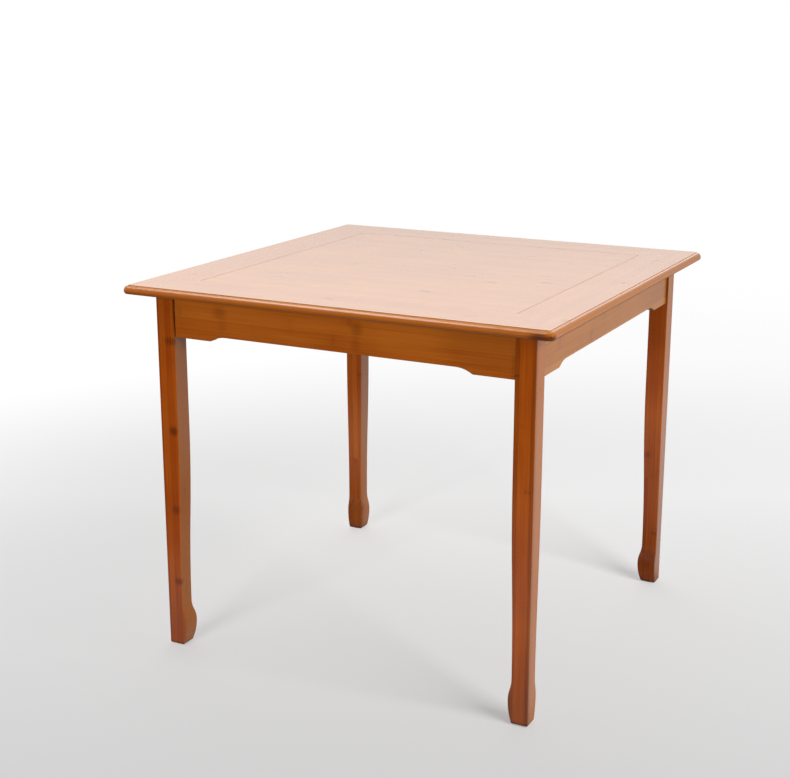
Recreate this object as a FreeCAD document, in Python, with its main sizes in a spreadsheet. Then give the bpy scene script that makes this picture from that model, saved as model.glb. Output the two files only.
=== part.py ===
# Square bamboo dining table: a mitred frame-and-panel top on four hoof-footed legs and four aprons.
# Origin on the floor under the centre of the top, +X right, +Y to the rear, +Z up, in millimetres.
import FreeCAD, Part
import math
import os
import re
import Sketcher

doc = FreeCAD.newDocument("dining_table")

# Driving dimensions
sizes = {
    # the whole table
    "table_width": 880,
    "table_height": 750,
    # the top: frame boards, moulded edge, panel and mitre splines
    "top_thickness": 17,
    "frame_width": 108,
    "corner_radius": 12,
    "nose_depth": 9,
    "nose_crest": 6,
    "nose_undercut": 3.5,
    "quirk_height": 1,
    "tongue_thickness": 6,
    "tongue_length": 8,
    "groove_clearance": 0.2,
    "panel_gap": 0.4,
    "panel_bevel": 0.8,
    "spline_length": 60,
    "spline_width": 36,
    "spline_thickness": 6,
    "spline_clearance": 0.2,
    # the legs: straight outer faces, tapered inner faces, hoof foot
    "top_overhang": 46,
    "leg_width": 40,
    "neck_inset": 6.6,
    "taper_height": 460,
    "neck_height": 90,
    "foot_height": 47,
    "toe_inset": 7.5,
    "leg_rounding": 2,
    "foot_bevel": 1.5,
    "seat_width": 12,
    "seat_stop": 6,
    # the aprons: end brackets and coves
    "apron_recess": 4,
    "apron_thickness": 20,
    "apron_height": 76,
    "bracket_drop": 10,
    "bracket_length": 81,
    "cove_run": 33,
    "bracket_rounding": 5,
    "apron_rounding": 1.5,
    # dowels between aprons and legs
    "dowel_diameter": 8,
    "dowel_length": 30,
    "dowel_inset": 13,
    "dowel_bevel": 1,
    "dowel_clearance": 0.1,
    # steel corner plates and the bolts through them
    "steel_gauge": 2,
    "plate_height": 48,
    "plate_gap": 14,
    "flange_length": 34,
    "lip_depth": 6,
    "kerf_clearance": 0.3,
    "bolt_diameter": 8,
    "bolt_drop": 38,
    "bolt_grip": 26,
    "bolt_tail": 4,
    "bolt_bevel": 0.8,
    "bolt_clearance": 0.2,
    "washer_diameter": 18,
    "washer_thickness": 1.6,
    "nut_width": 13,
    "nut_height": 6.5,
    # wood screws in the plates and the angles
    "screw_diameter": 4,
    "screw_length": 16,
    "screw_clearance": 0.1,
    "head_diameter": 8,
    "head_height": 2.4,
    "head_rounding": 1.6,
    "recess_span": 4.4,
    "recess_width": 1,
    "recess_depth": 1.2,
    "screw_spacing": 28,
    # steel angles between aprons and top
    "angle_leg": 20,
    "angle_width": 24,
    "angle_offset": 150,
    "angle_screw_reach": 12,
    # nail-on glides under the feet
    "glide_diameter": 24,
    "glide_height": 2,
    "glide_rounding": 0.8,
    "nail_diameter": 2.5,
    "nail_length": 12,
    "nail_clearance": 0.1,
}

sheet = doc.addObject("Spreadsheet::Sheet", "Sizes")
for row, (name, size) in enumerate(sizes.items(), start=1):
    sheet.set(f"A{row}", name)
    sheet.set(f"B{row}", str(size))
    sheet.setAlias(f"B{row}", name)
doc.recompute()

# Corners and sides in the order of quarter turns about the table's centre
corner_names = ("front_left", "front_right", "rear_right", "rear_left")
side_names = ("front", "right", "rear", "left")

# Lengths closer than this count as equal when edges are picked
tolerance = 0.01

# Lengths that several pieces share
top_underside = "(table_height - top_thickness)"
leg_face = "(table_width / 2 - top_overhang)"
apron_half = f"({leg_face} - leg_width)"
apron_full_height = "(apron_height + bracket_drop)"
apron_inner = "(apron_recess + apron_thickness)"
dowel_low = f"({top_underside} - {apron_full_height} + dowel_inset)"
dowel_spacing = f"({apron_full_height} - 2 * dowel_inset)"
seat_distance = "((2 * leg_width - seat_width) * sqrt(0.5))"
plate_distance = f"({seat_distance} + plate_gap)"
plate_bend = f"({plate_distance} * sqrt(2) - {apron_inner})"
plate_end = f"({plate_bend} + flange_length)"
plate_screw = f"({plate_bend} + flange_length / 2)"
bolt_height = f"({top_underside} - bolt_drop)"
bolt_start = f"({seat_distance} - bolt_grip)"
mitre_middle = "((frame_width - tongue_length) / 2)"
toe_radius = "((toe_inset ^ 2 + (foot_height - glide_height) ^ 2) / (2 * toe_inset))"
hoof_radius = "(((neck_inset / 2) ^ 2 + ((neck_height - foot_height) / 2) ^ 2) / neck_inset)"
taper_radius = "(((neck_inset / 2) ^ 2 + ((taper_height - neck_height) / 2) ^ 2) / neck_inset)"
toe_width = "(leg_width - toe_inset)"
screw_bite = "(screw_length - steel_gauge)"


def linked(formula):
    """The formula with each size written as a cell of the sheet."""
    return re.sub(r"[a-z]\w*", lambda word: f"Sizes.{word[0]}" if word[0] in sizes else word[0], formula)


def bind(item, path, formula):
    item.setExpression(path, linked(formula))


def value(formula):
    return float(sheet.evalExpression(formula))


def place(item, quarter, x, y, z, turn=0):
    """Stand an item at x, y, z on the front side or corner, then turn it round the table's centre."""
    for step in range(quarter):
        x, y = f"-({y})", x
    angle = 90 * quarter + turn
    item.Placement = FreeCAD.Placement(FreeCAD.Vector(), FreeCAD.Rotation(FreeCAD.Vector(0, 0, 1), angle))
    bind(item, "Placement.Base.x", x)
    bind(item, "Placement.Base.y", y)
    bind(item, "Placement.Base.z", z)


def origin_feature(body, role):
    return next(item for item in body.Origin.OriginFeatures if item.Role == role)


def new_body(label):
    body = doc.addObject("PartDesign::Body", label)
    body.Label = label
    return body


def new_sketch(body, plane, shift="0", turn=0):
    """A sketch on an origin plane turned about its own upright, then shifted along its normal."""
    sketch = body.newObject("Sketcher::SketchObject", f"{body.Label}_sketch")
    sketch.AttachmentSupport = [(origin_feature(body, plane), "")]
    sketch.MapMode = "FlatFace"
    upright = FreeCAD.Vector(0, 1, 0)
    sketch.AttachmentOffset = FreeCAD.Placement(FreeCAD.Vector(), FreeCAD.Rotation(upright, turn))
    bind(sketch, "AttachmentOffset.Base.x", f"({shift}) * sin({turn})")
    bind(sketch, "AttachmentOffset.Base.z", f"({shift}) * cos({turn})")
    return sketch


def pin_point(sketch, geometry, position, x, y):
    """Hold one point of a sketch at formulas for its two coordinates."""
    for kind, formula, axis in (("DistanceX", x, -2), ("DistanceY", y, -1)):
        if formula == "0":
            sketch.addConstraint(Sketcher.Constraint("PointOnObject", geometry, position, axis))
        else:
            pin = Sketcher.Constraint(kind, -1, 1, geometry, position, value(formula))
            bind(sketch, f"Constraints[{sketch.addConstraint(pin)}]", formula)


def draw_arc(sketch, start, stop, radius, sense):
    """An arc from start to stop, counter-clockwise for sense 1 and clockwise for -1."""
    chord = stop - start
    left = FreeCAD.Vector(-chord.y, chord.x, 0).normalize()
    depth = math.sqrt(radius ** 2 - (chord.Length / 2) ** 2)
    centre = (start + stop) / 2 + left * (sense * depth)
    first, last = (start, stop) if sense > 0 else (stop, start)
    angles = [math.atan2(point.y - centre.y, point.x - centre.x) for point in (first, last)]
    circle = Part.Circle(centre, FreeCAD.Vector(0, 0, 1), radius)
    return sketch.addGeometry(Part.ArcOfCircle(circle, *angles))


def outline(sketch, corners):
    """A closed outline; a corner with a radius and a sense bends the run to the next corner."""
    points = [FreeCAD.Vector(value(x), value(y), 0) for x, y, *bend in corners]
    ends = []
    for index, (x, y, *bend) in enumerate(corners):
        start, stop = points[index], points[(index + 1) % len(points)]
        if bend:
            radius, sense = bend
            arc = draw_arc(sketch, start, stop, value(radius), sense)
            size = sketch.addConstraint(Sketcher.Constraint("Radius", arc, value(radius)))
            bind(sketch, f"Constraints[{size}]", radius)
            ends.append((arc, 1, 2) if sense > 0 else (arc, 2, 1))
        else:
            ends.append((sketch.addGeometry(Part.LineSegment(start, stop)), 1, 2))
    for index, (geometry, first, last) in enumerate(ends):
        following = ends[(index + 1) % len(ends)]
        sketch.addConstraint(Sketcher.Constraint("Coincident", geometry, last, following[0], following[1]))
        pin_point(sketch, geometry, first, corners[index][0], corners[index][1])
    return sketch


def circle(sketch, x, y, diameter):
    centre = FreeCAD.Vector(value(x), value(y), 0)
    ring = sketch.addGeometry(Part.Circle(centre, FreeCAD.Vector(0, 0, 1), value(diameter) / 2))
    pin_point(sketch, ring, 3, x, y)
    size = sketch.addConstraint(Sketcher.Constraint("Diameter", ring, value(diameter)))
    bind(sketch, f"Constraints[{size}]", diameter)
    return sketch


def rectangle(sketch, left, bottom, right, top):
    return outline(sketch, [(left, bottom), (right, bottom), (right, top), (left, top)])


def pad(body, sketch, length, back=False, both=False):
    feature = body.newObject("PartDesign::Pad", f"{body.Label}_pad")
    feature.Profile = sketch
    feature.Reversed = back
    feature.SideType = "Symmetric" if both else "One side"
    bind(feature, "Length", length)
    return feature


def pocket(body, sketch, length=None, back=False, both=False):
    """A cut against the sketch's normal, or along it if back; right through without a length."""
    feature = body.newObject("PartDesign::Pocket", f"{body.Label}_pocket")
    feature.Profile = sketch
    feature.Reversed = back
    feature.SideType = "Symmetric" if both else "One side"
    if length is None:
        feature.Type = "ThroughAll"
    else:
        bind(feature, "Length", length)
    return feature


def dress(body, kind, size, chosen):
    """A Fillet or Chamfer of the edges of the body's tip that a test picks."""
    doc.recompute()
    base = body.Tip
    names = [f"Edge{index}" for index, edge in enumerate(base.Shape.Edges, start=1) if chosen(edge)]
    feature = body.newObject(f"PartDesign::{kind}", f"{body.Label}_{kind.lower()}")
    feature.Base = (base, names)
    bind(feature, "Radius" if kind == "Fillet" else "Size", size)
    return feature


def pattern(body, kind, **settings):
    """A whole-shape pattern of what is built so far, which becomes the body's tip."""
    doc.recompute()
    feature = body.newObject(f"PartDesign::{kind}", f"{body.Label}_{kind.lower()}")
    feature.TransformMode = "Whole shape"
    for name, setting in settings.items():
        setattr(feature, name, setting)
    body.Tip = feature
    return feature


def mirror(body):
    """Repeat the right half of a body on its left."""
    return pattern(body, "Mirrored", MirrorPlane=(origin_feature(body, "YZ_Plane"), [""]))


def around(body):
    """Repeat a body's shape at the four quarter turns."""
    upright = (origin_feature(body, "Z_Axis"), [""])
    return pattern(body, "PolarPattern", Axis=upright, Angle=360, Occurrences=len(side_names))


def stack(body, spacing):
    """Repeat a body's shape once, higher up."""
    feature = pattern(body, "LinearPattern", Direction=(origin_feature(body, "Z_Axis"), [""]), Occurrences=2)
    bind(feature, "Length", spacing)
    return feature


def middle(edge):
    return edge.valueAt((edge.FirstParameter + edge.LastParameter) / 2)


def near(number, formula):
    return abs(number - value(formula)) < tolerance


# Top frame: each board carries half of two mitres, the moulded edge, the panel's groove and screw pilots
def nose_profile(sketch):
    """What the moulding cutter takes off: all outside the quirk and the rounds above and below the crest."""
    shoulder = "(top_thickness - quirk_height)"
    upper_radius = f"((({shoulder} - nose_crest) ^ 2 + nose_depth ^ 2) / (2 * nose_depth))"
    lower_radius = "((nose_crest ^ 2 + nose_undercut ^ 2) / (2 * nose_undercut))"
    return outline(sketch, [
        ("nose_undercut", "0", lower_radius, -1),
        ("0", "nose_crest", upper_radius, -1),
        ("nose_depth", shoulder),
        ("nose_depth", "top_thickness"),
        ("-nose_depth", "top_thickness"),
        ("-nose_depth", "0"),
    ])


def top_frame_board(label, quarter):
    body = new_body(label)
    half = "table_width / 2"
    arc_end = "corner_radius * (1 - sqrt(0.5))"
    blank = outline(new_sketch(body, "XY_Plane"), [
        ("0", "0"),
        (f"{half} - corner_radius", "0", "corner_radius", 1),
        (f"{half} - {arc_end}", arc_end),
        (f"{half} - frame_width", "frame_width"),
        ("0", "frame_width"),
    ])
    pad(body, blank, "top_thickness")
    pocket(body, nose_profile(new_sketch(body, "YZ_Plane")), back=True)
    corner = nose_profile(new_sketch(body, "YZ_Plane", f"{half} - corner_radius"))
    axis_foot = FreeCAD.Vector(value("corner_radius"), 0, 0)
    axis_head = FreeCAD.Vector(value("corner_radius"), value("top_thickness"), 0)
    axis = corner.addGeometry(Part.LineSegment(axis_foot, axis_head), True)
    pin_point(corner, axis, 1, "corner_radius", "0")
    pin_point(corner, axis, 2, "corner_radius", "top_thickness")
    turned = body.newObject("PartDesign::Groove", f"{label}_corner")
    turned.Profile = corner
    turned.ReferenceAxis = (corner, ["Axis0"])
    turned.Angle = 90
    groove_low = "(top_thickness - tongue_thickness - groove_clearance) / 2"
    groove_high = "(top_thickness + tongue_thickness + groove_clearance) / 2"
    groove_bottom = "frame_width - tongue_length - panel_gap"
    groove = new_sketch(body, "YZ_Plane")
    pocket(body, rectangle(groove, groove_bottom, groove_low, "frame_width", groove_high), back=True)
    slot_length = "(spline_length + spline_clearance)"
    slot_width = "(spline_width + spline_clearance)"
    slot_height = "(spline_thickness + spline_clearance)"
    along = f"({slot_length} + {slot_width}) / 2 * sqrt(0.5)"
    across = f"({slot_length} - {slot_width}) / 2 * sqrt(0.5)"
    slot = outline(new_sketch(body, "XY_Plane", f"(top_thickness - {slot_height}) / 2"), [
        (f"{half} - {mitre_middle} + {across}", f"{mitre_middle} - {along}"),
        (f"{half} - {mitre_middle} + {along}", f"{mitre_middle} - {across}"),
        (f"{half} - {mitre_middle} - {across}", f"{mitre_middle} + {along}"),
        (f"{half} - {mitre_middle} - {along}", f"{mitre_middle} + {across}"),
    ])
    pocket(body, slot, slot_height, back=True)
    pilot = circle(new_sketch(body, "XY_Plane"), "angle_offset",
                   f"top_overhang + {apron_inner} + angle_screw_reach", "screw_diameter + screw_clearance")
    pocket(body, pilot, f"{screw_bite} + screw_clearance", back=True)
    mirror(body)
    place(body, quarter, "0", f"-{half}", top_underside)
    return body


# Panel of the top, held by its tongue in the frame's grooves and free to move with the weather
def top_panel(label):
    body = new_body(label)
    field = "(table_width - 2 * frame_width - 2 * panel_gap)"
    whole = f"({field} + 2 * tongue_length)"
    tongue = new_sketch(body, "XY_Plane", "(top_thickness - tongue_thickness) / 2")
    pad(body, rectangle(tongue, "0", "0", whole, whole), "tongue_thickness")
    far = f"{whole} - tongue_length"
    board = rectangle(new_sketch(body, "XY_Plane"), "tongue_length", "tongue_length", far, far)
    pad(body, board, "top_thickness")
    dress(body, "Chamfer", "panel_bevel", lambda edge: near(edge.BoundBox.ZMin, "top_thickness"))
    place(body, 0, f"-{whole} / 2", f"-{whole} / 2", top_underside)
    return body


# Loose splines that lock the mitres of the frame
def mitre_spline(label, quarter):
    spline = doc.addObject("Part::Box", label)
    spline.Label = label
    bind(spline, "Length", "spline_length")
    bind(spline, "Width", "spline_width")
    bind(spline, "Height", "spline_thickness")
    centre = f"-table_width / 2 + {mitre_middle}"
    place(spline, quarter, f"{centre} - (spline_length - spline_width) / 2 * sqrt(0.5)",
          f"{centre} - (spline_length + spline_width) / 2 * sqrt(0.5)",
          f"{top_underside} + (top_thickness - spline_thickness) / 2", turn=45)
    return spline


# Legs: one blank sawn to the same curve on both inner faces, with a bolt seat at the top
def leg_curve():
    """The inner face from the toe up: hoof, neck and taper, all arcs that run into each other."""
    turn = "leg_width - neck_inset / 2"
    return [
        (toe_width, "glide_height", toe_radius, 1),
        ("leg_width", "foot_height", hoof_radius, 1),
        (turn, "(foot_height + neck_height) / 2", hoof_radius, -1),
        ("leg_width - neck_inset", "neck_height", taper_radius, -1),
        (turn, "(neck_height + taper_height) / 2", taper_radius, 1),
        ("leg_width", "taper_height"),
    ]


def leg(label, quarter):
    body = new_body(label)
    profile = outline(new_sketch(body, "XZ_Plane"), [
        *leg_curve(),
        ("leg_width", top_underside),
        ("0", top_underside),
        ("0", "glide_height"),
    ])
    pad(body, profile, "leg_width", back=True)
    waste = outline(new_sketch(body, "YZ_Plane"), [
        *leg_curve(),
        ("2 * leg_width", "taper_height"),
        ("2 * leg_width", "glide_height"),
    ])
    pocket(body, waste, back=True)
    dress(body, "Fillet", "leg_rounding", lambda edge: edge.BoundBox.ZLength > edge.BoundBox.XLength
          and edge.BoundBox.ZLength > edge.BoundBox.YLength)
    dress(body, "Chamfer", "foot_bevel", lambda edge: near(edge.BoundBox.ZMax, "glide_height"))
    seat = outline(new_sketch(body, "XY_Plane", top_underside), [
        ("leg_width", "leg_width - seat_width"),
        ("leg_width", "leg_width"),
        ("leg_width - seat_width", "leg_width"),
    ])
    pocket(body, seat, f"{apron_full_height} - seat_stop")
    dowel_hole = "dowel_diameter + dowel_clearance"
    dowel_bottom = "leg_width - dowel_length / 2 - dowel_clearance"
    dowel_line = "apron_recess + apron_thickness / 2"
    sideways = new_sketch(body, "YZ_Plane", dowel_bottom)
    endways = new_sketch(body, "XZ_Plane", f"-({dowel_bottom})")
    for height in (dowel_low, f"{dowel_low} + {dowel_spacing}"):
        circle(sideways, dowel_line, height, dowel_hole)
        circle(endways, dowel_line, height, dowel_hole)
    pocket(body, sideways, back=True)
    pocket(body, endways)
    bolt_hole = new_sketch(body, "XZ_Plane", bolt_start, turn=135)
    pocket(body, circle(bolt_hole, "0", bolt_height, "bolt_diameter + bolt_clearance"), back=True)
    nail_hole = new_sketch(body, "XY_Plane", "glide_height")
    circle(nail_hole, f"{toe_width} / 2", f"{toe_width} / 2", "nail_diameter + nail_clearance")
    pocket(body, nail_hole, "nail_length + nail_clearance", back=True)
    place(body, quarter, f"-{leg_face}", f"-{leg_face}", "0")
    return body


# Aprons: a rail with a deeper bracket at each end, butted and dowelled between two legs
def apron(label, quarter):
    body = new_body(label)
    cove_radius = "((cove_run ^ 2 + bracket_drop ^ 2) / (2 * bracket_drop))"
    bracket = f"{apron_half} - bracket_length"
    profile = outline(new_sketch(body, "XZ_Plane"), [
        ("0", "bracket_drop"),
        (f"{bracket} - cove_run", "bracket_drop", cove_radius, -1),
        (bracket, "0"),
        (apron_half, "0"),
        (apron_half, apron_full_height),
        ("0", apron_full_height),
    ])
    pad(body, profile, "apron_thickness", back=True)
    dress(body, "Fillet", "bracket_rounding",
          lambda edge: near(middle(edge).x, bracket) and edge.BoundBox.XLength < tolerance)
    dress(body, "Fillet", "apron_rounding", lambda edge: edge.BoundBox.YLength < tolerance
          and edge.BoundBox.ZLength < edge.BoundBox.XLength
          and middle(edge).z < value("bracket_drop") + tolerance)
    dress(body, "Fillet", "apron_rounding", lambda edge: near(edge.BoundBox.XMin, apron_half)
          and near(edge.BoundBox.YMax, "0"))
    inner_face = "-apron_thickness"
    kerf_end = f"{apron_half} + leg_width - {plate_end}"
    kerf = rectangle(new_sketch(body, "XZ_Plane", inner_face), f"{kerf_end} - kerf_clearance", "0",
                     f"{kerf_end} + steel_gauge + kerf_clearance", apron_full_height)
    pocket(body, kerf, "lip_depth + kerf_clearance", back=True)
    pilots = new_sketch(body, "XZ_Plane", inner_face)
    pilot_hole = "screw_diameter + screw_clearance"
    plate_middle = f"{apron_full_height} - bolt_drop"
    for height in (f"{plate_middle} - screw_spacing / 2", f"{plate_middle} + screw_spacing / 2"):
        circle(pilots, f"{apron_half} + leg_width - {plate_screw}", height, pilot_hole)
    circle(pilots, "angle_offset", f"{apron_full_height} - angle_screw_reach", pilot_hole)
    pocket(body, pilots, f"{screw_bite} + screw_clearance", back=True)
    dowel_holes = new_sketch(body, "YZ_Plane", f"{apron_half} - dowel_length / 2 - dowel_clearance")
    for height in ("dowel_inset", f"dowel_inset + {dowel_spacing}"):
        circle(dowel_holes, "apron_thickness / 2", height, "dowel_diameter + dowel_clearance")
    pocket(body, dowel_holes, back=True)
    mirror(body)
    place(body, quarter, "0", f"-({leg_face} - apron_recess)", f"{top_underside} - {apron_full_height}")
    return body


# Dowels from the ends of the aprons into the legs
def apron_dowels(label):
    body = new_body(label)
    peg = circle(new_sketch(body, "YZ_Plane", f"{apron_half} - dowel_length / 2"),
                 f"{leg_face} - apron_recess - apron_thickness / 2", dowel_low, "dowel_diameter")
    pad(body, peg, "dowel_length")
    dress(body, "Chamfer", "dowel_bevel", lambda edge: edge.isClosed())
    stack(body, dowel_spacing)
    mirror(body)
    around(body)
    return body


# Corner plates: pressed steel, flat on two aprons, across the corner and hooked into the kerfs
def corner_plate(label, quarter):
    body = new_body(label)
    inner_bend = f"({plate_bend} + steel_gauge * (sqrt(2) - 1))"
    one_side = [
        (plate_bend, apron_inner),
        (f"{plate_end} - steel_gauge", apron_inner),
        (f"{plate_end} - steel_gauge", f"{apron_inner} - lip_depth"),
        (plate_end, f"{apron_inner} - lip_depth"),
        (plate_end, f"{apron_inner} + steel_gauge"),
        (inner_bend, f"{apron_inner} + steel_gauge"),
    ]
    other_side = [(y, x) for x, y in reversed(one_side)]
    pad(body, outline(new_sketch(body, "XY_Plane"), one_side + other_side), "plate_height")
    bolt_hole = new_sketch(body, "XZ_Plane", turn=135)
    pocket(body, circle(bolt_hole, "0", "plate_height / 2", "bolt_diameter + 2 * bolt_clearance"), both=True)
    flange_holes = (new_sketch(body, "XZ_Plane"), new_sketch(body, "YZ_Plane"))
    for holes in flange_holes:
        for height in ("(plate_height - screw_spacing) / 2", "(plate_height + screw_spacing) / 2"):
            circle(holes, plate_screw, height, "screw_diameter + 2 * screw_clearance")
        pocket(body, holes, both=True)
    place(body, quarter, f"-{leg_face}", f"-{leg_face}", f"{bolt_height} - plate_height / 2")
    return body


# Bolts, washers and nuts, drawn in the rear right corner and repeated in the others
def corner_sketch(body, distance):
    """A sketch square to the diagonal, at a distance from the leg's outer corner."""
    return new_sketch(body, "XZ_Plane", f"{leg_face} * sqrt(2) - ({distance})", turn=135)


def hanger_bolts(label):
    body = new_body(label)
    shank = circle(corner_sketch(body, bolt_start), "0", bolt_height, "bolt_diameter")
    pad(body, shank, "bolt_grip + plate_gap + steel_gauge + washer_thickness + nut_height + bolt_tail",
        back=True)
    dress(body, "Chamfer", "bolt_bevel", lambda edge: edge.isClosed())
    around(body)
    return body


def hanger_washers(label):
    body = new_body(label)
    ring = corner_sketch(body, f"{plate_distance} + steel_gauge")
    circle(ring, "0", bolt_height, "washer_diameter")
    circle(ring, "0", bolt_height, "bolt_diameter + 2 * bolt_clearance")
    pad(body, ring, "washer_thickness", back=True)
    around(body)
    return body


def hanger_nuts(label):
    body = new_body(label)
    hexagon = corner_sketch(body, f"{plate_distance} + steel_gauge + washer_thickness")
    side = "nut_width / sqrt(3)"
    outline(hexagon, [
        (side, bolt_height),
        (f"{side} / 2", f"{bolt_height} + nut_width / 2"),
        (f"-{side} / 2", f"{bolt_height} + nut_width / 2"),
        (f"-{side}", bolt_height),
        (f"-{side} / 2", f"{bolt_height} - nut_width / 2"),
        (f"{side} / 2", f"{bolt_height} - nut_width / 2"),
    ])
    circle(hexagon, "0", bolt_height, "bolt_diameter + bolt_clearance")
    pad(body, hexagon, "nut_height", back=True)
    around(body)
    return body


# Wood screws with rounded heads and cross recesses
def cross(sketch, x, y):
    """The outline of a cross recess round a point."""
    long, short = "recess_span / 2", "recess_width / 2"
    arm = [(long, f"-{short}"), (long, short), (short, short)]
    corners = []
    arms = 4
    for turn in range(arms):
        corners += arm
        arm = [(f"-({v})", u) for u, v in arm]
    return outline(sketch, [(f"{x} + {u}", f"{y} + {v}") for u, v in corners])


def screw(body, plane, seat, x, y, head_back):
    """A screw through a steel piece: the head on its free face, the shank through it."""
    pad(body, circle(new_sketch(body, plane, seat), x, y, "head_diameter"), "head_height", back=head_back)
    crown = f"{seat} - head_height" if head_back else f"{seat} + head_height"
    normal = {"XZ_Plane": FreeCAD.Vector(0, -1, 0), "XY_Plane": FreeCAD.Vector(0, 0, 1)}[plane]
    dress(body, "Fillet", "head_rounding", lambda edge: near(middle(edge).dot(normal), crown))
    pocket(body, cross(new_sketch(body, plane, crown), x, y), "recess_depth", back=head_back)
    pad(body, circle(new_sketch(body, plane, seat), x, y, "screw_diameter"), "screw_length",
        back=not head_back)


def plate_screws(label):
    body = new_body(label)
    seat = f"-({leg_face} - {apron_inner} - steel_gauge)"
    screw(body, "XZ_Plane", seat, f"{leg_face} - {plate_screw}", f"{bolt_height} - screw_spacing / 2", False)
    stack(body, "screw_spacing")
    mirror(body)
    around(body)
    return body


def angle_screws(label):
    body = new_body(label)
    seat = f"-({leg_face} - {apron_inner} - steel_gauge)"
    screw(body, "XZ_Plane", seat, "angle_offset", f"{top_underside} - angle_screw_reach", False)
    screw(body, "XY_Plane", f"{top_underside} - steel_gauge", "angle_offset",
          f"{leg_face} - {apron_inner} - angle_screw_reach", True)
    mirror(body)
    around(body)
    return body


# Steel angles that hold the top down on the aprons
def top_angle(label, quarter, end):
    body = new_body(label)
    section = outline(new_sketch(body, "YZ_Plane"), [
        ("0", "0"),
        ("steel_gauge", "0"),
        ("steel_gauge", "angle_leg - steel_gauge"),
        ("angle_leg", "angle_leg - steel_gauge"),
        ("angle_leg", "angle_leg"),
        ("0", "angle_leg"),
    ])
    pad(body, section, "angle_width", both=True)
    hole = "screw_diameter + 2 * screw_clearance"
    pocket(body, circle(new_sketch(body, "XZ_Plane"), "0", "angle_leg - angle_screw_reach", hole), both=True)
    pocket(body, circle(new_sketch(body, "XY_Plane"), "0", "angle_screw_reach", hole), both=True)
    place(body, quarter, f"{end} * angle_offset", f"-({leg_face} - {apron_inner})",
          f"{top_underside} - angle_leg")
    return body


# Glides nailed under the feet
def foot_glide(label, quarter):
    body = new_body(label)
    centre = f"{toe_width} / 2"
    pad(body, circle(new_sketch(body, "XY_Plane"), centre, centre, "glide_diameter"), "glide_height")
    dress(body, "Fillet", "glide_rounding", lambda edge: near(middle(edge).z, "0"))
    nail = new_sketch(body, "XY_Plane", "glide_height")
    pad(body, circle(nail, centre, centre, "nail_diameter"), "nail_length")
    place(body, quarter, f"-{leg_face}", f"-{leg_face}", "0")
    return body


# The whole table
nodes = [top_panel("top_panel")]
for quarter, corner in enumerate(corner_names):
    nodes.append(mitre_spline(f"mitre_spline_{corner}", quarter))
    nodes.append(leg(f"leg_{corner}", quarter))
    nodes.append(corner_plate(f"corner_plate_{corner}", quarter))
    nodes.append(foot_glide(f"foot_glide_{corner}", quarter))
for quarter, side in enumerate(side_names):
    nodes.append(top_frame_board(f"top_frame_{side}", quarter))
    nodes.append(apron(f"apron_{side}", quarter))
    for end, neighbour in ((-1, side_names[quarter - 1]), (1, side_names[(quarter + 1) % len(side_names)])):
        nodes.append(top_angle(f"top_angle_{side}_{neighbour}", quarter, end))
for group in (apron_dowels, hanger_bolts, hanger_washers, hanger_nuts, plate_screws, angle_screws):
    nodes.append(group(group.__name__))
doc.recompute()

# Every object has to be sound, and every cut has to take something away, before a file is written
for item in doc.Objects:
    if {"Invalid", "Error"} & set(item.State):
        raise RuntimeError(f"{item.Label} failed: {item.getStatusString()}")
    if item.TypeId in ("PartDesign::Pocket", "PartDesign::Groove"):
        if item.Shape.Volume >= item.BaseFeature.Shape.Volume:
            raise RuntimeError(f"{item.Label} cuts nothing")
for node in nodes:
    if node.Shape.isNull() or not node.Shape.isValid():
        raise RuntimeError(f"{node.Label} has no sound shape")

os.makedirs("parts", exist_ok=True)
for node in nodes:
    node.Shape.exportStep(f"parts/{node.Label}.step")
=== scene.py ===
import math
import bpy
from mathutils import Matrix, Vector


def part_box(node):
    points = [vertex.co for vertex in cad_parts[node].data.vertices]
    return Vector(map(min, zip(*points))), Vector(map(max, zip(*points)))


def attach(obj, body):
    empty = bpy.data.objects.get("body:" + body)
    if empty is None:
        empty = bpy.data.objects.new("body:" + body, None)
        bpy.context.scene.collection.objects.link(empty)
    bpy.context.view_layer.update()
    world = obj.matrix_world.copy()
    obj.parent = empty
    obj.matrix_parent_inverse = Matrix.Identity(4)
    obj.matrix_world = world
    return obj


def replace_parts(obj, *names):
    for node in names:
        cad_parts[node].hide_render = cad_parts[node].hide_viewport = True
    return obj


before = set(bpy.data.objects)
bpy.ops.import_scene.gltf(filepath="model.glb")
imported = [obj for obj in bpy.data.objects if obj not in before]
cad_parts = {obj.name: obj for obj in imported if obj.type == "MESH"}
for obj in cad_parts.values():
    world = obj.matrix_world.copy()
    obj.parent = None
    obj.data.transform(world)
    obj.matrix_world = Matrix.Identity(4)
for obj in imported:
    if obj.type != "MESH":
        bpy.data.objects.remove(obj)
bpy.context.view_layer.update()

# Legs
# Each leg is a blank glued up from bamboo laths, steamed brown, sawn to a curve on its two inner
# faces and lacquered. It stands in a corner of the apron ring and a bolt pulls it into the corner.
leg_lath = (0.0134, 0.0067)
leg_knuckle = 0.006
leg_knuckle_depth = 0.35
leg_dark = (0.225, 0.034, 0.0015)
leg_light = (0.385, 0.092, 0.006)
leg_edge = (0.310, 0.095, 0.008)
# The colour of knots and stains, and of painted shade
knot_and_shade_colour = (0.070, 0.013, 0.002)
x_axis, y_axis, z_axis = 0, 1, 2


def wire(tree, kind, inputs, **settings):
    """One shader node with its settings; each input is a plain value or the output of another node."""
    node = tree.nodes.new("ShaderNode" + kind)
    for name, setting in settings.items():
        setattr(node, name, setting)
    for key, value in inputs.items():
        if isinstance(value, bpy.types.NodeSocket):
            tree.links.new(value, node.inputs[key])
        else:
            node.inputs[key].default_value = value
    return node


def sum_of(tree, operation, *terms):
    """The output of one arithmetic node."""
    return wire(tree, "Math", dict(enumerate(terms)), operation=operation).outputs[0]


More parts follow.
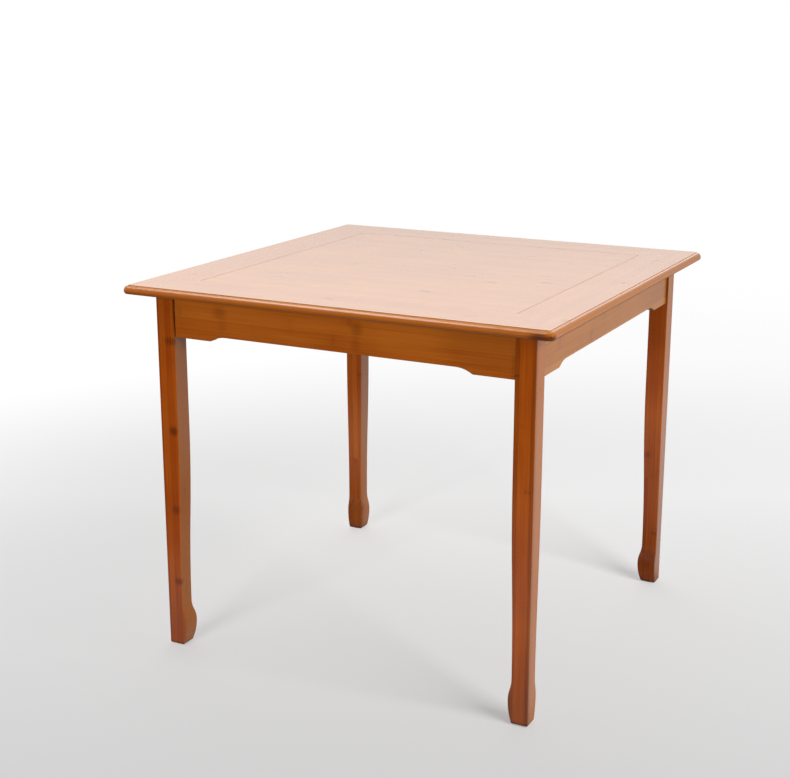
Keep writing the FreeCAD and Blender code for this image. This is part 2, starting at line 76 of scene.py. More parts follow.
def fade(tree, value, start, stop, first, last, easing="SMOOTHSTEP"):
    """A value that goes from first at start to last at stop, eased unless easing says otherwise."""
    limits = {"Value": value, "From Min": start, "From Max": stop, "To Min": first, "To Max": last}
    return wire(tree, "MapRange", limits, interpolation_type=easing).outputs[0]


def mixed(tree, factor, first, second):
    """A colour between two others, each a colour or the output of another node."""
    pair = [value if isinstance(value, bpy.types.NodeSocket) else (*value, 1) for value in (first, second)]
    return wire(tree, "Mix", {0: factor, 6: pair[0], 7: pair[1]}, data_type="RGBA").outputs[2]


def finish(name):
    """A new material, its tree and its surface shader."""
    material = bpy.data.materials.new(name)
    material.use_nodes = True
    return material, material.node_tree, material.node_tree.nodes["Principled BSDF"]


def dress(node, material):
    """Give a solid of the frame its finish."""
    node.data.materials.clear()
    node.data.materials.append(material)


def bamboo(name, grain, across, shift, lath, dark, light, knuckle, knuckle_depth, knots_and_shade=(), tint=0.0,
           pores=1.0, edge=None):
    """Lacquered bamboo: laths along one axis, each with its own tone, fibres and knuckles.

    grain and across are the axes along and across the laths, and shift is the place in the blank that
    the piece was cut from. lath is the width and thickness of a lath, knuckle the half length of the
    dark bar at a joint of the cane, and knuckle_depth its depth of colour. Each knot, or patch of
    painted shade, is a place with its reach along each axis and its depth of colour. Undersides are
    darkened as painted shade. tint makes the whole piece lighter or darker, and pores says how open the
    grain is under the lacquer. edge is the colour of the faces that show the edges of the laths, where
    it differs; on the frame boards it is painted shade on the moulded edge.
    """
    material, tree, surface = finish(name)
    place = wire(tree, "TexCoord", {}).outputs["Object"]
    moved = wire(tree, "VectorMath", {0: place, 1: shift}, operation="ADD").outputs[0]
    split = wire(tree, "SeparateXYZ", {0: moved}).outputs
    third = x_axis + y_axis + z_axis - grain - across
    along, wide, deep = split[grain], split[across], split[third]
    widths = sum_of(tree, "DIVIDE", wide, lath[0])
    row = sum_of(tree, "FLOOR", widths)
    layer = sum_of(tree, "FLOOR", sum_of(tree, "DIVIDE", deep, lath[1]))
    lath_id = wire(tree, "CombineXYZ", {0: row, 1: layer}).outputs[0]
    luck = wire(tree, "TexWhiteNoise", {"Vector": lath_id}, noise_dimensions="3D")
    luck_parts = wire(tree, "SeparateColor", {0: luck.outputs["Color"]}).outputs

    def stretched(length, width, start, detail):
        """Noise drawn out along the lath, different in each lath."""
        spread = 40.0
        run = sum_of(tree, "MULTIPLY_ADD", start, spread, sum_of(tree, "DIVIDE", along, length))
        side = sum_of(tree, "DIVIDE", wide, width)
        depth = sum_of(tree, "DIVIDE", deep, width)
        vector = wire(tree, "CombineXYZ", {0: run, 1: side, 2: depth}).outputs[0]
        return wire(tree, "TexNoise", {"Vector": vector, "Scale": 1.0, "Detail": detail}).outputs[0]

    # Fibres, the finer vessels between them, and clouds of tone over the whole blank
    fibre_length, fibre_width, fibre_detail = 0.16, 0.0032, 4.0
    vessel_length, vessel_width, vessel_detail = 0.022, 0.0006, 2.0
    vessel_edge, vessel_middle = 0.52, 0.72
    cloud_scale, cloud_detail = 7.0, 2.0
    fibre = stretched(fibre_length, fibre_width, luck_parts[0], fibre_detail)
    vessel_noise = stretched(vessel_length, vessel_width, luck_parts[1], vessel_detail)
    vessel = fade(tree, vessel_noise, vessel_edge, vessel_middle, 0.0, 1.0)
    clouds = {"Vector": moved, "Scale": cloud_scale, "Detail": cloud_detail}
    cloud = wire(tree, "TexNoise", clouds).outputs[0]

    # The tone of each lath, about an even middle
    lath_change = 0.05 + 0.45 * pores
    fibre_change = 0.1 + 0.5 * pores
    cloud_change = 0.6
    even = 0.5 - (lath_change + fibre_change + cloud_change) / 2
    tone = sum_of(tree, "MULTIPLY_ADD", luck_parts[2], lath_change, tint + even)
    tone = sum_of(tree, "MULTIPLY_ADD", fibre, fibre_change, tone)
    tone = sum_of(tree, "MULTIPLY_ADD", cloud, cloud_change, tone)
    colour = mixed(tree, fade(tree, tone, 0.0, 1.0, 0.0, 1.0), dark, light)

    # Faces that show the edges of the laths, and undersides, which get less lacquer and are darkened as
    # painted shade
    edge_start, edge_full, edge_share = 0.4, 0.95, 0.75
    under_full, under_none = -0.6, -0.1
    normal = wire(tree, "NewGeometry", {}).outputs["Normal"]
    facing = wire(tree, "SeparateXYZ", {0: normal}).outputs
    side_on = sum_of(tree, "ABSOLUTE", facing[across])
    if edge:
        edge_on = fade(tree, side_on, edge_start, edge_full, 0.0, edge_share)
        colour = mixed(tree, edge_on, colour, edge)
    under = fade(tree, facing[z_axis], under_full, under_none, 1.0, 0.0)

    # Joints of the cane: one to each length of lath, somewhere near its middle, most of them faint
    cane_joint = 0.27
    joint_start, joint_room = 0.2, 0.6
    joint_rarity = 4.0
    halo_reach, halo_depth = 3.5, 0.3
    phase = sum_of(tree, "ADD", sum_of(tree, "DIVIDE", along, cane_joint), luck.outputs["Value"])
    cell = sum_of(tree, "FLOOR", phase)
    joint_id = wire(tree, "CombineXYZ", {0: row, 1: layer, 2: cell}).outputs[0]
    joint_luck = wire(tree, "TexWhiteNoise", {"Vector": joint_id}, noise_dimensions="3D")
    joint_parts = wire(tree, "SeparateColor", {0: joint_luck.outputs["Color"]}).outputs
    middle = sum_of(tree, "MULTIPLY_ADD", joint_parts[0], joint_room, joint_start)
    offset = sum_of(tree, "SUBTRACT", sum_of(tree, "FRACT", phase), middle)
    offset = sum_of(tree, "MULTIPLY", offset, cane_joint)
    wander = sum_of(tree, "MULTIPLY_ADD", fibre, knuckle, sum_of(tree, "ADD", offset, -knuckle / 2))
    gap = sum_of(tree, "ABSOLUTE", wander)
    bar = fade(tree, gap, 0.0, knuckle, 1.0, 0.0)
    halo = fade(tree, gap, 0.0, halo_reach * knuckle, halo_depth, 0.0)
    plain = sum_of(tree, "POWER", joint_parts[1], joint_rarity)
    stain_and_shade = sum_of(tree, "MULTIPLY", plain, sum_of(tree, "MAXIMUM", bar, halo))
    stain_and_shade = sum_of(tree, "MULTIPLY", stain_and_shade, knuckle_depth)

    # Glue lines between the laths, and the crown of each lath, on which a joint swells
    glue_width, glue_depth = 0.0005, 0.35
    glue_full, glue_none = 0.6, 0.9
    half_lath = 0.5
    inward = sum_of(tree, "PINGPONG", widths, half_lath)
    glue_line = fade(tree, inward, 0.0, glue_width / lath[0], glue_depth, 0.0)
    glue_line = sum_of(tree, "MULTIPLY", glue_line, fade(tree, side_on, glue_full, glue_none, 1.0, 0.0))
    stain_and_shade = sum_of(tree, "ADD", stain_and_shade, glue_line)
    crown = fade(tree, inward, 0.0, half_lath, 0.0, 1.0)
    swell = sum_of(tree, "MULTIPLY", sum_of(tree, "MULTIPLY", plain, bar), crown)

    # Knots, dark laths and patches of painted shade at their own places, with ragged borders
    knot_ragged = 0.7
    knot_core = 0.15
    for centre, reach, depth in knots_and_shade:
        away = wire(tree, "VectorMath", {0: place, 1: centre}, operation="SUBTRACT").outputs[0]
        away = wire(tree, "VectorMath", {0: away, 1: reach}, operation="DIVIDE").outputs[0]
        away = wire(tree, "VectorMath", {0: away}, operation="LENGTH").outputs["Value"]
        away = sum_of(tree, "ADD", away, -knot_ragged / 2)
        away = sum_of(tree, "MULTIPLY_ADD", fibre, knot_ragged, away)
        stain_and_shade = sum_of(tree, "ADD", stain_and_shade, fade(tree, away, knot_core, 1.0, depth, 0.0))
    vessel_stain = 0.07 * pores
    # Undersides are darkened as painted shade
    under_shade = 0.3
    most_stain_and_shade = 0.9
    stain_and_shade = sum_of(tree, "MULTIPLY_ADD", vessel, vessel_stain, stain_and_shade)
    stain_and_shade = sum_of(tree, "MULTIPLY_ADD", under, under_shade, stain_and_shade)
    capped_stain_and_shade = sum_of(tree, "MINIMUM", stain_and_shade, most_stain_and_shade)
    tree.links.new(mixed(tree, capped_stain_and_shade, colour, knot_and_shade_colour), surface.inputs["Base Color"])

    # The lacquer follows the fibres a little and is dull underneath
    lacquer = 0.25
    lacquer_change = 0.02 * pores
    under_dull = 0.5
    fibre_low, fibre_high = 0.25, 0.75
    roughness = fade(tree, fibre, fibre_low, fibre_high, lacquer - lacquer_change, lacquer + lacquer_change)
    roughness = sum_of(tree, "MULTIPLY_ADD", under, under_dull, roughness)
    tree.links.new(roughness, surface.inputs["Roughness"])
    surface.inputs["IOR"].default_value = 1.5
    knuckle_height = 0.0005
    grain_height, grain_strength = 0.0004, 0.005 * pores
    vessel_groove = -0.6
    ridge = wire(tree, "Bump", {"Strength": 1.0, "Distance": knuckle_height, "Height": swell}).outputs[0]
    relief = sum_of(tree, "MULTIPLY_ADD", vessel, vessel_groove, fibre)
    bumps = {"Strength": grain_strength, "Distance": grain_height, "Height": relief, "Normal": ridge}
    tree.links.new(wire(tree, "Bump", bumps).outputs[0], surface.inputs["Normal"])
    return material


# What marks each leg: its place in the blank, its tint, the cane joints and dark laths that show, and
# patches of painted shade at the joints with the aprons, along the near leg's right arris and low on
# the rear legs
leg_marks = {
    "front_left": ((0.0005, 0.0, 0.31), -0.28, [
        ((-0.3640, -0.394, 0.6385), (0.022, 0.014, 0.013), 0.55),
        ((-0.3650, -0.394, 0.4570), (0.014, 0.012, 0.014), 0.75),
        ((-0.3665, -0.394, 0.2930), (0.015, 0.012, 0.015), 0.60),
        ((-0.3660, -0.394, 0.1400), (0.016, 0.012, 0.012), 0.65),
        # Painted shade in the recess where the leg meets the apron
        ((-0.3540, -0.390, 0.6890), (0.004, 0.008, 0.075), 0.80),
    ]),
    "front_right": ((0.0127, 0.0021, 1.37), 0.0, [
        ((0.3550, -0.394, 0.4000), (0.015, 0.030, 1.500), 0.38),
        # Painted shade along the right arris of the front face
        ((0.3920, -0.396, 0.4000), (0.009, 0.014, 1.500), 0.45),
    ]),
    "rear_right": ((0.0206, 0.0104, 2.22), -0.22, [
        # The next two are painted shade, on the hoof and over the lower half of the leg
        ((0.3740, 0.358, 0.0600), (0.050, 0.020, 0.035), 0.20),
        ((0.3740, 0.358, 0.1800), (0.100, 0.100, 0.300), 0.25),
        ((0.3640, 0.354, 0.3040), (0.012, 0.012, 0.010), 0.35),
        # Painted shade in the recess where the leg meets the apron
        ((0.3960, 0.354, 0.6890), (0.010, 0.006, 0.075), 0.70),
    ]),
    "rear_left": ((0.0309, 0.0155, 3.45), 0.15, [
        # Painted shade on the hoof
        ((-0.3740, 0.358, 0.0640), (0.050, 0.020, 0.030), 0.25),
    ]),
}
# Each foot has dirt and painted contact shade round its rim, and painted shade low on its front: the
# depth and how far in it goes
rim_dirt_and_shade = 0.55
rim_reach = (0.060, 0.060, 0.009)
foot_shade_width, foot_shade_rise = 0.3, 0.2
foot_front_shade = {
    "front_left": (0.26, 0.010),
    "front_right": (0.38, 0.010),
    "rear_right": (0.32, 0.024),
    "rear_left": (0.38, 0.024),
}
for corner, (shift, tint, knots_and_shade) in leg_marks.items():
    low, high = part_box(f"leg_{corner}")
    rim = ((low[0] + high[0]) / 2, (low[1] + high[1]) / 2, low[2])
    foot_front = (rim[0], low[1], low[2])
    foot_shade_depth, foot_shade_reach = foot_front_shade[corner]
    knots_and_shade = knots_and_shade + [
        (rim, rim_reach, rim_dirt_and_shade),
        (foot_front, (foot_shade_width, foot_shade_reach, foot_shade_rise), foot_shade_depth),
    ]
    leg_bamboo = bamboo(f"leg_bamboo_{corner}", z_axis, x_axis, shift, leg_lath, leg_dark, leg_light,
                        leg_knuckle, leg_knuckle_depth, knots_and_shade, tint, edge=leg_edge)
    dress(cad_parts[f"leg_{corner}"], leg_bamboo)

# Foot glides
# A disc of brown nylon with a nail moulded in, driven into the end grain under each foot, keeps the
# wood off the floor. The underside is scuffed by sliding.
glide_brown = (0.055, 0.030, 0.016)
glide_scuffed = (0.135, 0.100, 0.075)
glide_smooth, glide_rough = 0.38, 0.6
scuff_scale, scuff_detail = 420.0, 5.0
scuff_height, scuff_strength = 0.0003, 0.15
scuff_none, scuff_some, scuff_full = 0.3, 0.5, 0.7
glide_nylon, tree, surface = finish("glide_nylon")
glide_place = wire(tree, "TexCoord", {}).outputs["Object"]
scuff_noise = {"Vector": glide_place, "Scale": scuff_scale, "Detail": scuff_detail}
scuffs = wire(tree, "TexNoise", scuff_noise).outputs[0]
worn = fade(tree, scuffs, scuff_some, scuff_full, 0.0, 1.0)
tree.links.new(mixed(tree, worn, glide_brown, glide_scuffed), surface.inputs["Base Color"])
rubbed = fade(tree, scuffs, scuff_none, scuff_full, glide_smooth, glide_rough)
tree.links.new(rubbed, surface.inputs["Roughness"])
scuff_bump = wire(tree, "Bump", {"Strength": scuff_strength, "Distance": scuff_height, "Height": scuffs})
tree.links.new(scuff_bump.outputs[0], surface.inputs["Normal"])
for corner in leg_marks:
    dress(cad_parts[f"foot_glide_{corner}"], glide_nylon)

# Aprons
# Rails of wide bamboo laths laid flat side out, with a deeper bracket and a cove at each end, butted
# between the legs, glued and dowelled. A row of cane joints crosses the front one twice.
apron_lath = (0.021, 0.0066)
apron_knuckle = 0.010
apron_knuckle_depth = 0.3
apron_dark = (0.285, 0.059, 0.004)
apron_light = (0.440, 0.122, 0.012)
# The right apron gets a paler, yellower copy of the apron colours, painted light for the side that the
# right lamp lights
right_apron_dark_lit = (0.275, 0.084, 0.006)
right_apron_light_lit = (0.415, 0.150, 0.014)
apron_knots_and_shade = [
    ((-0.2505, -0.390, 0.7050), (0.022, 0.012, 0.018), 0.30),
    ((-0.2450, -0.390, 0.6790), (0.016, 0.012, 0.020), 0.18),
    ((0.0450, -0.390, 0.7030), (0.018, 0.012, 0.019), 0.34),
    ((0.0425, -0.390, 0.6760), (0.016, 0.012, 0.020), 0.24),
    # This last one is painted shade over the right end of the front apron, beside the near leg
    ((0.3000, -0.390, 0.7000), (0.150, 0.020, 0.120), 0.18),
]
apron_runs = {
    "front": (x_axis, (0.13, 0.002, 0.0048), apron_dark, apron_light, apron_knots_and_shade),
    "right": (y_axis, (0.003, 1.41, 0.0101), right_apron_dark_lit, right_apron_light_lit, ()),
    "rear": (x_axis, (2.52, 0.005, 0.0149), apron_dark, apron_light, ()),
    "left": (y_axis, (0.006, 3.87, 0.0187), apron_dark, apron_light, ()),
}
for side, (run, shift, dark, light, knots_and_shade) in apron_runs.items():
    apron_bamboo = bamboo(f"apron_bamboo_{side}", run, z_axis, shift, apron_lath, dark, light,
                          apron_knuckle, apron_knuckle_depth, knots_and_shade)
    dress(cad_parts[f"apron_{side}"], apron_bamboo)

# Apron dowels
# Short pegs of plain, unstained bamboo, glued half into the ends of the aprons and half into the
# legs, two to a joint.
bare_dark = (0.40, 0.245, 0.105)
bare_light = (0.56, 0.385, 0.200)
bare_lath = (0.006, 0.006)
bare_knuckle = 0.004
bare_knuckle_depth = 0.2
dowel_shift = (0.7, 0.003, 0.001)
dowel_bamboo = bamboo("dowel_bamboo", x_axis, y_axis, dowel_shift, bare_lath, bare_dark, bare_light,
                      bare_knuckle, bare_knuckle_depth)
dress(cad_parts["apron_dowels"], dowel_bamboo)

# Corner plates and their screws
# Pressed steel plates, zinc plated, stand across the inner corners: their lips hook into kerfs in
# the aprons and round-headed wood screws hold their flanges.
zinc_pale = (0.66, 0.665, 0.66)
zinc_dull = (0.44, 0.445, 0.445)
zinc_smooth, zinc_rough = 0.3, 0.46
bloom_scale, bloom_detail, bloom_share = 160.0, 6.0, 0.55
scratch_scale = (900.0, 900.0, 40.0)
scratch_detail, scratch_share = 3.0, 0.45
scratch_height, scratch_strength = 0.0002, 0.08
dull_at, pale_at = 0.35, 0.65
zinc_steel, tree, surface = finish("zinc_steel")
surface.inputs["Metallic"].default_value = 1.0
steel_place = wire(tree, "TexCoord", {}).outputs["Object"]
bloom_noise = {"Vector": steel_place, "Scale": bloom_scale, "Detail": bloom_detail}
bloom = wire(tree, "TexNoise", bloom_noise).outputs[0]
rolled = wire(tree, "VectorMath", {0: steel_place, 1: scratch_scale}, operation="MULTIPLY").outputs[0]
scratch_noise = {"Vector": rolled, "Scale": 1.0, "Detail": scratch_detail}
scratches = wire(tree, "TexNoise", scratch_noise).outputs[0]
plating = sum_of(tree, "MULTIPLY", bloom, bloom_share)
plating = sum_of(tree, "MULTIPLY_ADD", scratches, scratch_share, plating)
paleness = fade(tree, plating, dull_at, pale_at, 0.0, 1.0)
tree.links.new(mixed(tree, paleness, zinc_dull, zinc_pale), surface.inputs["Base Color"])
tree.links.new(fade(tree, plating, dull_at, pale_at, zinc_rough, zinc_smooth), surface.inputs["Roughness"])
steel_bumps = {"Strength": scratch_strength, "Distance": scratch_height, "Height": scratches}
tree.links.new(wire(tree, "Bump", steel_bumps).outputs[0], surface.inputs["Normal"])
for corner in leg_marks:
    dress(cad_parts[f"corner_plate_{corner}"], zinc_steel)
dress(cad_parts["plate_screws"], zinc_steel)

# Bolts, washers and nuts
# A bolt with a wood thread in the leg comes out through the corner plate, and a washer and a hexagon
# nut on its machine thread pull the leg into the corner. Depths are from the leg's outer corner.
bolt_low, bolt_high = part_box("hanger_bolts")
bolt_height = (bolt_low[2] + bolt_high[2]) / 2
leg_corner = math.sqrt(2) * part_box("leg_rear_right")[1][0]
bolt_root = leg_corner - 0.02208
bolt_seat = leg_corner - 0.04808
bolt_tip = leg_corner - 0.07618
bolt_radius = 0.004
bolt_root_radius = 0.003
bolt_tip_radius = 0.0024
bolt_bevel = 0.0008
thread_root = 0.00335
thread_pitch = 0.00125
thread_start = 0.0007
thread_end = 0.001
thread_sides = 24
thread_steps = 6
crest_flat = 1.3
nut_height = 0.0065
nut_inner_face = leg_corner - 0.06568 - nut_height
nut_width = 0.013
nut_bore = 0.00415
nut_countersink = 0.0005
nut_countersink_depth = 0.0008
nut_flat_share = 0.95
nut_bevel = math.tan(math.radians(30))
nut_sides = 72
smooth_angle = math.radians(32)


def at_corners(name, rings):
    """A closed mesh of rings round an axis, repeated at the four corners.

    A ring is a list of pairs: the distance out from the middle of the table and the radius.
    """
    points, faces = [], []
    count = len(rings[0])
    for corner in range(4):
        heading = math.radians(45 + 90 * corner)
        out = (math.cos(heading), math.sin(heading))
        first = len(points)
        for ring in rings:
            for index, (distance, radius) in enumerate(ring):
                angle = 2 * math.pi * index / count
                side, up = radius * math.cos(angle), radius * math.sin(angle)
                points.append((distance * out[0] - side * out[1], distance * out[1] + side * out[0],
                               bolt_height + up))
        for low in range(len(rings) - 1):
            for index in range(count):
                following = (index + 1) % count
                faces.append((first + low * count + index, first + low * count + following,
                              first + (low + 1) * count + following, first + (low + 1) * count + index))
        if rings[0] is not rings[-1]:
            faces.append(tuple(first + index for index in reversed(range(count))))
            faces.append(tuple(first + (len(rings) - 1) * count + index for index in range(count)))
    mesh = bpy.data.meshes.new(name)
    mesh.from_pydata(points, [], faces)
    mesh.validate()
    mesh.shade_smooth()
    mesh.set_sharp_from_angle(angle=smooth_angle)
    piece = bpy.data.objects.new(name, mesh)
    bpy.context.scene.collection.objects.link(piece)
    mesh.materials.append(zinc_steel)
    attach(piece, "root")
    return piece


bolt_rings = [[(bolt_tip, bolt_tip_radius)] * thread_sides]
thread_rows = int((bolt_seat - bolt_tip - thread_end) / thread_pitch * thread_steps)
for row in range(thread_rows + 1):
    distance = bolt_tip + thread_start + row * thread_pitch / thread_steps
    growth = min(1, row / thread_steps)
    ring = []
    for index in range(thread_sides):
        turn = (row / thread_steps - index / thread_sides) % 1
        crest = min(1, crest_flat * (1 - abs(2 * turn - 1)))
        ring.append((distance, thread_root + (bolt_radius - thread_root) * crest * growth))
    bolt_rings.append(ring)
bolt_rings.append([(bolt_seat, thread_root)] * thread_sides)
bolt_rings.append([(bolt_seat + bolt_bevel, bolt_radius)] * thread_sides)
bolt_rings.append([(bolt_root - bolt_bevel, bolt_radius)] * thread_sides)
bolt_rings.append([(bolt_root, bolt_root_radius)] * thread_sides)
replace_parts(at_corners("threaded_hanger_bolts", bolt_rings), "hanger_bolts")

flat_round = nut_flat_share * nut_width / 2
nut_outer_face = nut_inner_face + nut_height
hexagon = []
for index in range(nut_sides):
    lean = math.radians((360 * index / nut_sides) % 60 - 30)
    hexagon.append(nut_width / 2 / math.cos(lean))
near_edge = [(nut_inner_face + (reach - flat_round) * nut_bevel, reach) for reach in hexagon]
far_edge = [(nut_outer_face - (reach - flat_round) * nut_bevel, reach) for reach in hexagon]
nut_rings = [
    [(nut_inner_face + nut_countersink_depth, nut_bore)] * nut_sides,
    [(nut_inner_face, nut_bore + nut_countersink)] * nut_sides,
    [(nut_inner_face, flat_round)] * nut_sides,
    near_edge,
    far_edge,
    [(nut_outer_face, flat_round)] * nut_sides,
    [(nut_outer_face, nut_bore + nut_countersink)] * nut_sides,
    [(nut_outer_face - nut_countersink_depth, nut_bore)] * nut_sides,
]
nut_rings.append(nut_rings[0])
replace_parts(at_corners("bevelled_nuts", nut_rings), "hanger_nuts")
dress(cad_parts["hanger_washers"], zinc_steel)

# Top panel
# A board of bamboo laths laid flat and glued edge to edge, smooth under thick lacquer. Its tongue
# floats in the grooves of the frame and nothing else holds it.
panel_lath = (0.020, 0.0066)
panel_knuckle = 0.016
panel_knuckle_depth = 0.12
panel_pores = 0.3
panel_dark = (0.310, 0.099, 0.008)
panel_light = (0.430, 0.159, 0.017)
panel_shift = (5.31, 0.0021, 0.0)
panel_bamboo = bamboo("panel_bamboo", x_axis, y_axis, panel_shift, panel_lath, panel_dark, panel_light,
                      panel_knuckle, panel_knuckle_depth, pores=panel_pores)
dress(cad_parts["top_panel"], panel_bamboo)

# Top frame
# Four boards with a quirked round along the outside, mitred at the corners round the panel. The
# grain follows each board, so it turns at the mitres.
frame_lath = (0.020, 0.0066)
frame_knuckle = 0.014
frame_knuckle_depth = 0.10
frame_dark = (0.300, 0.093, 0.008)
frame_light = (0.415, 0.148, 0.015)
# The moulded edge gets a darker colour as painted shade; on the right board it is paler, as painted light
# on the side that the right lamp lights
frame_side_shaded = (0.250, 0.056, 0.003)
right_frame_side_lit = (0.340, 0.105, 0.009)
corner_knots = [
    ((0.4150, -0.4400, 0.7390), (0.030, 0.014, 0.0105), 0.90),
    ((0.4370, -0.4330, 0.7380), (0.012, 0.016, 0.0090), 0.80),
]
board_runs = {
    "front": (x_axis, y_axis, (7.13, 0.0042, 0.0), frame_side_shaded, corner_knots),
    "right": (y_axis, x_axis, (0.0014, 8.41, 0.0), right_frame_side_lit, corner_knots),
    "rear": (x_axis, y_axis, (9.77, 0.0033, 0.0), frame_side_shaded, ()),
    "left": (y_axis, x_axis, (0.0059, 6.29, 0.0), frame_side_shaded, ()),
}
for side, (run, across, shift, side_colour, knots_and_shade) in board_runs.items():
    board_bamboo = bamboo(f"frame_bamboo_{side}", run, across, shift, frame_lath, frame_dark, frame_light,
                          frame_knuckle, frame_knuckle_depth, knots_and_shade, pores=panel_pores, edge=side_colour)
    dress(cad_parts[f"top_frame_{side}"], board_bamboo)

# Mitre splines
# Loose tongues of the same bare bamboo as the dowels, glued into slots across the mitres and hidden
# inside the frame.
spline_shift = (0.3, 0.2, 0.001)
spline_bamboo = bamboo("spline_bamboo", x_axis, z_axis, spline_shift, bare_lath, bare_dark, bare_light,
                       bare_knuckle, bare_knuckle_depth)
for corner in leg_marks:
    dress(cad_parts[f"mitre_spline_{corner}"], spline_bamboo)

# Angles under the top
# Small zinc-plated steel angles, two inside each apron, with one screw into the apron and one up
# into the frame of the top.
for name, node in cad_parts.items():
    if name.startswith("top_angle_"):
        dress(node, zinc_steel)
dress(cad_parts["angle_screws"], zinc_steel)

# Floor and background
# A pale paper floor, greyest in front and on the right, that rises to white behind, under a white
# background. To every ray but the camera's own the room is darker in front and at the sides, and the
# lacquer mirrors that.
floor_half = 40.0
depth_axis = (-0.459, 0.888, 0.0)
side_axis = (0.888, 0.459, 0.0)
front_left_tone, front_right_tone, back_tone = 0.60, 0.49, 1.0
rise_start, rise_stop = -1.0, 0.75
left_end, left_middle, right_end = -1.2, -0.6, 1.2
left_rise, right_rise = 1.08, 0.90
floor_roughness, floor_specular = 0.9, 0.1
room_level, side_level = 0.07, 0.65


def along_axis(tree, place, axis):
    """How far a place lies along an axis."""
    return wire(tree, "VectorMath", {0: place, 1: axis}, operation="DOT_PRODUCT").outputs["Value"]


floor_turns = ((-1, -1), (1, -1), (1, 1), (-1, 1))
floor_corners = [(floor_half * x, floor_half * y, 0) for x, y in floor_turns]
floor_mesh = bpy.data.meshes.new("studio_floor")
floor_mesh.from_pydata(floor_corners, [], [(0, 1, 2, 3)])
floor = bpy.data.objects.new("studio_floor", floor_mesh)
bpy.context.scene.collection.objects.link(floor)
floor_paper, tree, surface = finish("floor_paper")
floor_place = wire(tree, "TexCoord", {}).outputs["Object"]
back = along_axis(tree, floor_place, depth_axis)
sideways = along_axis(tree, floor_place, side_axis)
far = wire(tree, "VectorMath", {0: floor_place}, operation="LENGTH").outputs["Value"]
rightward = wire(tree, "SeparateXYZ", {0: floor_place}).outputs[x_axis]
rise = fade(tree, back, rise_start, rise_stop, 0.0, 1.0, "LINEAR")
lean = fade(tree, sideways, left_end, right_end, left_rise, right_rise, "LINEAR")
rise = sum_of(tree, "MULTIPLY", rise, lean)
front_tone = fade(tree, sideways, left_middle, right_end, front_left_tone, front_right_tone, "LINEAR")
climb = sum_of(tree, "SUBTRACT", back_tone, front_tone)
paper = sum_of(tree, "MULTIPLY_ADD", rise, climb, front_tone)

# What all but the camera's own rays see of the floor: less of it in front and at the sides, and painted
# shade under the table and just before the rear feet. Each dark part is a distance, where it starts
# and stops, and the two levels there.
table_shade = (0.5, 1.2)
right_of_legs = (0.36, 0.44)
front_end, front_middle = -1.45, -0.85
right_far = 2.4
spot_left, spot_before = 0.085, 0.16
spot_middle, spot_end, spot_level = 0.1, 0.3, 0.2
under_table = fade(tree, far, *table_shade, side_level, 1.0)
beside_table = fade(tree, rightward, *right_of_legs, 0.0, 1.0)
floor_room = sum_of(tree, "MAXIMUM", under_table, beside_table)
dark_parts = [
    (back, front_end, front_middle, room_level, 1.0),
    (sideways, left_end, left_middle, room_level, 1.0),
    (sideways, right_end, right_far, 1.0, side_level),
]
for corner in ("rear_left", "rear_right"):
    low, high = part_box(f"leg_{corner}")
    spot = ((low[0] + high[0]) / 2 - spot_left, low[1] - spot_before, 0)
    away = wire(tree, "VectorMath", {0: floor_place, 1: spot}, operation="DISTANCE").outputs["Value"]
    dark_parts.append((away, spot_middle, spot_end, spot_level, 1.0))
for distance, start, stop, first, last in dark_parts:
    floor_room = sum_of(tree, "MULTIPLY", floor_room, fade(tree, distance, start, stop, first, last))
floor_path = wire(tree, "LightPath", {}).outputs
floor_room = sum_of(tree, "MAXIMUM", floor_path["Is Camera Ray"], floor_room)
tree.links.new(mixed(tree, floor_room, (0, 0, 0), paper), surface.inputs["Base Color"])
surface.inputs["Roughness"].default_value = floor_roughness
surface.inputs["Specular IOR Level"].default_value = floor_specular

# Far from the table the floor stops taking shadows and turns white, so that no horizon shows. Near
# it, a share of the floor's brightness is its own, which lightens the shadows.
glow_share = 0.4
shadow_end = (0.6, 2.6)
white_start = (2.0, 4.2)
gone = fade(tree, far, *shadow_end, glow_share, 1.0)
white = fade(tree, far, *white_start, 0.0, 1.0)
glow_colour = mixed(tree, white, paper, (1, 1, 1))
glow = wire(tree, "Emission", {"Color": glow_colour, "Strength": floor_room}).outputs[0]
blend = wire(tree, "MixShader", {0: gone, 1: surface.outputs[0], 2: glow})
tree.links.new(blend.outputs[0], tree.nodes["Material Output"].inputs["Surface"])
floor_mesh.materials.append(floor_paper)

ambient = 0.38
front_axis = (0.45, -0.87, 0.2)
front_dark = (0.0, 0.7)
right_dark = (0.3, 0.8)
world = bpy.data.worlds.new("white_studio")
bpy.context.scene.world = world
world.use_nodes = True
tree = world.node_tree
path = wire(tree, "LightPath", {}).outputs
mirrored = sum_of(tree, "MAXIMUM", path["Is Glossy Ray"], path["Is Transmission Ray"])
seen = sum_of(tree, "MAXIMUM", path["Is Camera Ray"], mirrored)
level = sum_of(tree, "MULTIPLY_ADD", seen, 1 - ambient, ambient)
towards = wire(tree, "TexCoord", {}).outputs["Generated"]
front_room = fade(tree, along_axis(tree, towards, front_axis), *front_dark, 1.0, room_level)
right_room = fade(tree, along_axis(tree, towards, side_axis), *right_dark, 1.0, side_level)
dim = sum_of(tree, "MULTIPLY", front_room, right_room)
dim = sum_of(tree, "MAXIMUM", path["Is Camera Ray"], dim)
level = sum_of(tree, "MULTIPLY", level, dim)
tree.links.new(level, tree.nodes["Background"].inputs["Strength"])
tree.nodes["Background"].inputs["Color"].default_value = (1, 1, 1, 1)

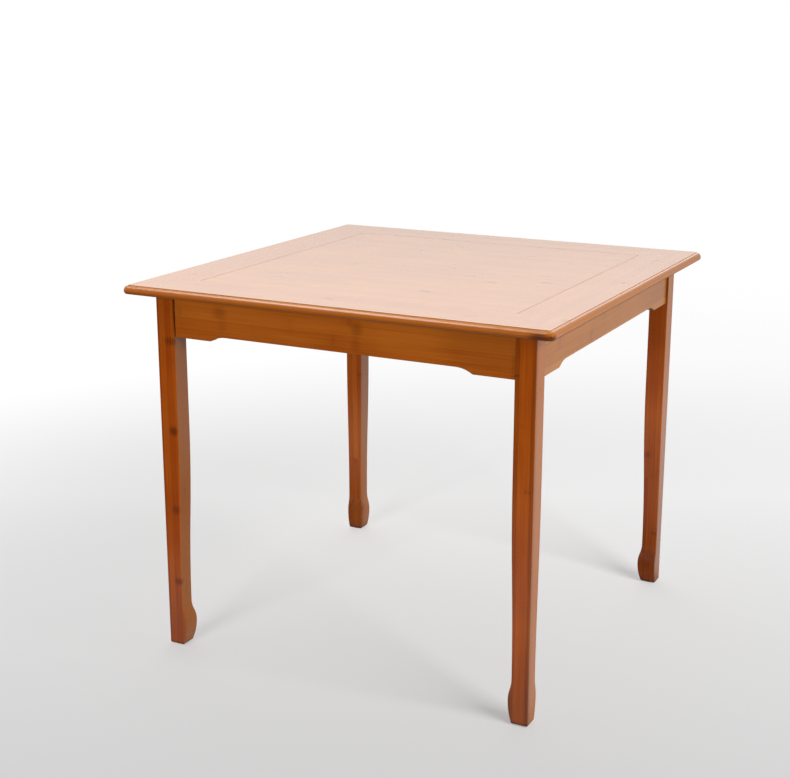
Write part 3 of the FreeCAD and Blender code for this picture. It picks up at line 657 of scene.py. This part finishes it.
# Lamps
# Four softboxes: one low in front and one to the right, whose shadows cross behind the feet, one
# overhead for the moulded edge and one far behind, whose reflection lies on the lacquer of the top.
softboxes = {
    "front_softbox": ((-0.5, -3.9, 1.2), (1.4, 1.2), 92.0),
    "right_softbox": ((3.0, -0.95, 1.8), (1.8, 1.5), 120.0),
    "top_softbox": ((-1.1, -0.90, 2.80), (1.5, 1.1), 42.0),
    "back_softbox": ((-3.45, 6.67, 4.05), (9.7, 3.7), 159.0),
}
lamps_aim = Vector((0, 0, 0.5))


def passed_over(name, pieces):
    """A collection of pieces that a lamp leaves out."""
    left_out = bpy.data.collections.new(name)
    for piece in pieces:
        left_out.objects.link(piece)
    for entry in left_out.collection_objects:
        entry.light_linking.link_state = "EXCLUDE"
    return left_out


# The overhead lamp leaves the floor alone, and only it and the one behind show in the lacquer. The
# front lamp throws the shadows of the left legs but not of the right ones, and the right lamp the
# other way round.
off_the_floor = passed_over("off_the_floor", [floor])
left_legs = passed_over("left_legs", [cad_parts[f"leg_{end}_left"] for end in ("front", "rear")])
right_legs = passed_over("right_legs", [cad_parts[f"leg_{end}_right"] for end in ("front", "rear")])
shadowless = {"right_softbox": left_legs, "front_softbox": right_legs}
mirrored_lamps = ("top_softbox", "back_softbox")
for name, (place, size, power) in softboxes.items():
    lamp = bpy.data.lights.new(name, "AREA")
    lamp.shape = "RECTANGLE"
    lamp.size, lamp.size_y = size
    lamp.energy = power
    softbox = bpy.data.objects.new(name, lamp)
    softbox.location = place
    aim = lamps_aim - softbox.location
    softbox.rotation_euler = aim.to_track_quat("-Z", "Y").to_euler()
    softbox.visible_camera = False
    softbox.visible_glossy = name in mirrored_lamps
    if name == "top_softbox":
        softbox.light_linking.receiver_collection = off_the_floor
    if name in shadowless:
        softbox.light_linking.blocker_collection = shadowless[name]
    bpy.context.scene.collection.objects.link(softbox)

# Camera
# Stands in front of the right front corner, half a metre above the top, and looks down at the table.
# Its place, its angles and its lens are fitted to the photograph, with no roll and no shift.
photo_width = 790
focal_pixels = 1447.3
camera_place = (1.2705, -2.6116, 1.2776)
camera_yaw, camera_pitch = 0.477, 0.2636
camera_data = bpy.data.cameras.new("photo_camera")
camera_data.sensor_width = 36.0
camera_data.lens = camera_data.sensor_width * focal_pixels / photo_width
camera = bpy.data.objects.new("photo_camera", camera_data)
camera.location = camera_place
camera.rotation_euler = (math.pi / 2 - camera_pitch, 0, camera_yaw)
bpy.context.scene.collection.objects.link(camera)
bpy.context.scene.camera = camera
bpy.context.scene.view_settings.view_transform = "Standard"
